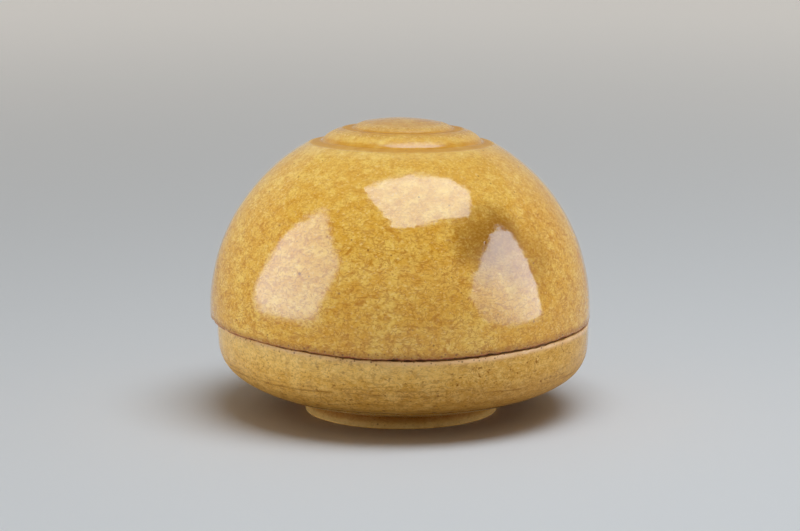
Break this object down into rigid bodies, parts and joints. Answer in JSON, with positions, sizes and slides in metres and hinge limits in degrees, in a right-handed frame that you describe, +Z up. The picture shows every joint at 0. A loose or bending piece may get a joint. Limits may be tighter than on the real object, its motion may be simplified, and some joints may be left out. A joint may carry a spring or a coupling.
{
  "type": "incense box",
  "caption": "Small round incense box of yellow-glazed stoneware: a domed lift-off lid with turned rings on a shallow footed bowl that holds incense.",
  "frame": {"origin": "on the upright axis, in the plane that the foot ring stands on", "axes": "+Z up along the axis of turning, +X to the right and +Y to the back as the picture shows the box"},
  "size_m": [0.0598, 0.0598, 0.0458],
  "materials": {
    "lid_glaze": "glossy amber-yellow ash glaze with fine mottling",
    "bowl_glaze": "satin amber-yellow ash glaze, bare clay on the foot ring and the rim"
  },
  "bodies": {
    "bowl": {"bowl": "bowl_glaze"},
    "lid": {"lid": "lid_glaze"}
  },
  "joints": [
    {"name": "lid_lift", "type": "slide", "parent": "bowl", "child": "lid", "axis": [0, 0, 1], "range_m": [0, 0.05]}
  ]
}
